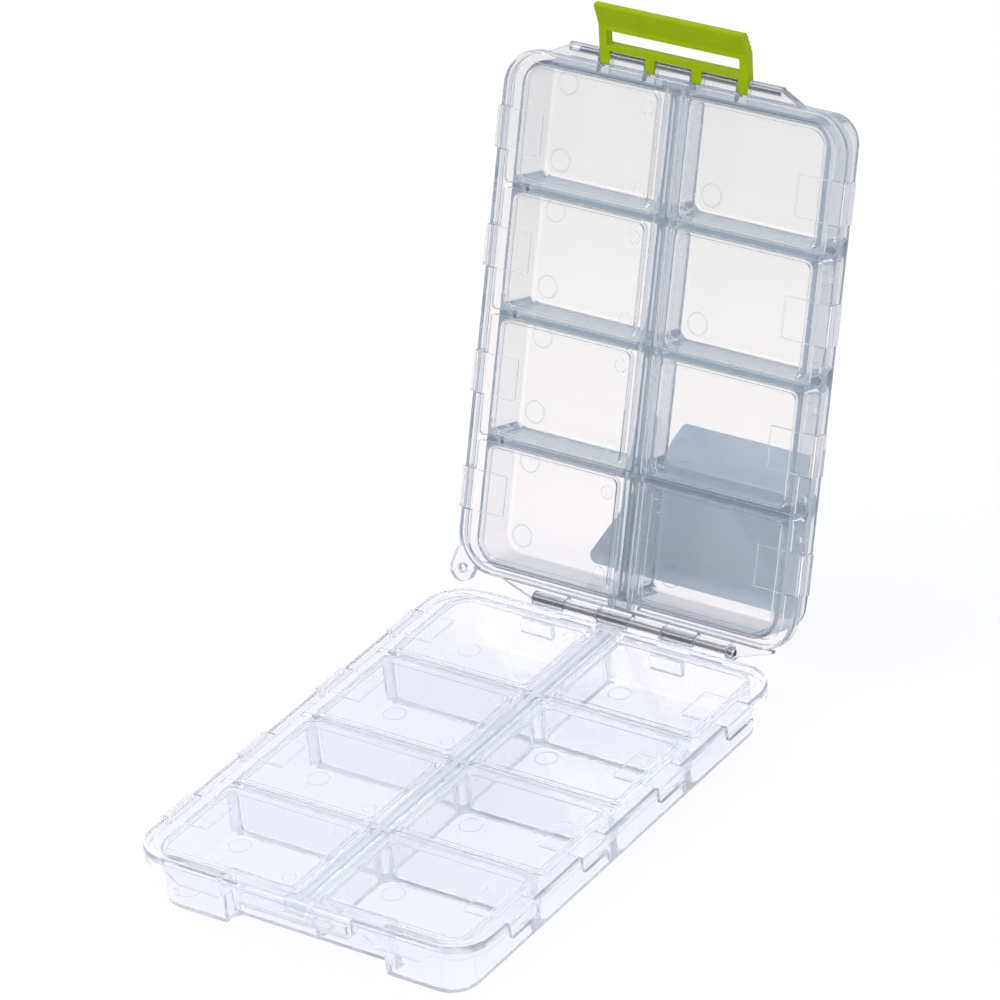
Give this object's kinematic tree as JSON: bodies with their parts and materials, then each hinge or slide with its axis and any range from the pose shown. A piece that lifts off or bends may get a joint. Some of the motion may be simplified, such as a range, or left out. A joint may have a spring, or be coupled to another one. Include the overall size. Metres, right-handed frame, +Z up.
{
  "type": "lure box",
  "caption": "Double-sided clear tackle box: two trays hinged like a book, each compartment with its own hinged lid, and a swing latch.",
  "frame": {"origin": "centre of the lower tray's underside, which rests on the table", "axes": "+Z up, +Y towards the main hinge and the upper tray, +X to the right seen from the latch side"},
  "size_m": [0.1517, 0.2916, 0.2375],
  "materials": {
    "clear_tray": "clear moulded plastic, glossy",
    "clear_lid": "clear moulded plastic, glossy",
    "clear_rail": "clear moulded plastic, glossy",
    "latch_plastic": "yellow-green moulded plastic, slightly translucent",
    "pin_steel": "bright drawn wire",
    "label_film": "plain pale blue-grey sticker"
  },
  "bodies": {
    "lower": {"lower_tray": "clear_tray", "lower_spine_rail": "clear_rail", "hinge_pin": "pin_steel"},
    "upper": {"upper_tray": "clear_tray", "upper_spine_rail": "clear_rail", "latch_pin": "pin_steel", "back_label": "label_film"},
    "latch": {"latch": "latch_plastic"},
    "lower_lid_left_1": {"lower_lid_left_1": "clear_lid"},
    "lower_lid_left_2": {"lower_lid_left_2": "clear_lid"},
    "lower_lid_left_3": {"lower_lid_left_3": "clear_lid"},
    "lower_lid_left_4": {"lower_lid_left_4": "clear_lid"},
    "lower_lid_right_1": {"lower_lid_right_1": "clear_lid"},
    "lower_lid_right_2": {"lower_lid_right_2": "clear_lid"},
    "lower_lid_right_3": {"lower_lid_right_3": "clear_lid"},
    "lower_lid_right_4": {"lower_lid_right_4": "clear_lid"},
    "upper_lid_left_1": {"upper_lid_left_1": "clear_lid"},
    "upper_lid_left_2": {"upper_lid_left_2": "clear_lid"},
    "upper_lid_left_3": {"upper_lid_left_3": "clear_lid"},
    "upper_lid_left_4": {"upper_lid_left_4": "clear_lid"},
    "upper_lid_right_1": {"upper_lid_right_1": "clear_lid"},
    "upper_lid_right_2": {"upper_lid_right_2": "clear_lid"},
    "upper_lid_right_3": {"upper_lid_right_3": "clear_lid"},
    "upper_lid_right_4": {"upper_lid_right_4": "clear_lid"}
  },
  "joints": [
    {"name": "box_hinge", "type": "hinge", "parent": "lower", "child": "upper", "pos_m": [0, 0.1027, 0.023], "axis": [-1, 0, 0], "range_deg": [-109.4, 0]},
    {"name": "latch_hinge", "type": "hinge", "parent": "upper", "child": "latch", "pos_m": [0, 0.17359, 0.21601], "axis": [-1, 0, 0], "range_deg": [-75, 15]},
    {"name": "lower_lid_left_1_hinge", "type": "hinge", "parent": "lower", "child": "lower_lid_left_1", "pos_m": [-0.0034, 0, 0.02125], "axis": [0, 1, 0], "range_deg": [0, 90]},
    {"name": "lower_lid_left_2_hinge", "type": "hinge", "parent": "lower", "child": "lower_lid_left_2", "pos_m": [-0.0034, 0, 0.02125], "axis": [0, 1, 0], "range_deg": [0, 90]},
    {"name": "lower_lid_left_3_hinge", "type": "hinge", "parent": "lower", "child": "lower_lid_left_3", "pos_m": [-0.0034, 0, 0.02125], "axis": [0, 1, 0], "range_deg": [0, 90]},
    {"name": "lower_lid_left_4_hinge", "type": "hinge", "parent": "lower", "child": "lower_lid_left_4", "pos_m": [-0.0034, 0, 0.02125], "axis": [0, 1, 0], "range_deg": [0, 90]},
    {"name": "lower_lid_right_1_hinge", "type": "hinge", "parent": "lower", "child": "lower_lid_right_1", "pos_m": [0.0034, 0, 0.02125], "axis": [0, -1, 0], "range_deg": [0, 90]},
    {"name": "lower_lid_right_2_hinge", "type": "hinge", "parent": "lower", "child": "lower_lid_right_2", "pos_m": [0.0034, 0, 0.02125], "axis": [0, -1, 0], "range_deg": [0, 90]},
    {"name": "lower_lid_right_3_hinge", "type": "hinge", "parent": "lower", "child": "lower_lid_right_3", "pos_m": [0.0034, 0, 0.02125], "axis": [0, -1, 0], "range_deg": [0, 90]},
    {"name": "lower_lid_right_4_hinge", "type": "hinge", "parent": "lower", "child": "lower_lid_right_4", "pos_m": [0.0034, 0, 0.02125], "axis": [0, -1, 0], "range_deg": [0, 90]},
    {"name": "upper_lid_left_1_hinge", "type": "hinge", "parent": "upper", "child": "upper_lid_left_1", "pos_m": [-0.0034, 0.13757, 0.11674], "axis": [0, 0.3322, 0.9432], "range_deg": [0, 75]},
    {"name": "upper_lid_left_2_hinge", "type": "hinge", "parent": "upper", "child": "upper_lid_left_2", "pos_m": [-0.0034, 0.13757, 0.11674], "axis": [0, 0.3322, 0.9432], "range_deg": [0, 75]},
    {"name": "upper_lid_left_3_hinge", "type": "hinge", "parent": "upper", "child": "upper_lid_left_3", "pos_m": [-0.0034, 0.13757, 0.11674], "axis": [0, 0.3322, 0.9432], "range_deg": [0, 75]},
    {"name": "upper_lid_left_4_hinge", "type": "hinge", "parent": "upper", "child": "upper_lid_left_4", "pos_m": [-0.0034, 0.13757, 0.11674], "axis": [0, 0.3322, 0.9432], "range_deg": [0, 75]},
    {"name": "upper_lid_right_1_hinge", "type": "hinge", "parent": "upper", "child": "upper_lid_right_1", "pos_m": [0.0034, 0.13757, 0.11674], "axis": [0, -0.3322, -0.9432], "range_deg": [0, 75]},
    {"name": "upper_lid_right_2_hinge", "type": "hinge", "parent": "upper", "child": "upper_lid_right_2", "pos_m": [0.0034, 0.13757, 0.11674], "axis": [0, -0.3322, -0.9432], "range_deg": [0, 75]},
    {"name": "upper_lid_right_3_hinge", "type": "hinge", "parent": "upper", "child": "upper_lid_right_3", "pos_m": [0.0034, 0.13757, 0.11674], "axis": [0, -0.3322, -0.9432], "range_deg": [0, 75]},
    {"name": "upper_lid_right_4_hinge", "type": "hinge", "parent": "upper", "child": "upper_lid_right_4", "pos_m": [0.0034, 0.13757, 0.11674], "axis": [0, -0.3322, -0.9432], "range_deg": [0, 75]}
  ]
}
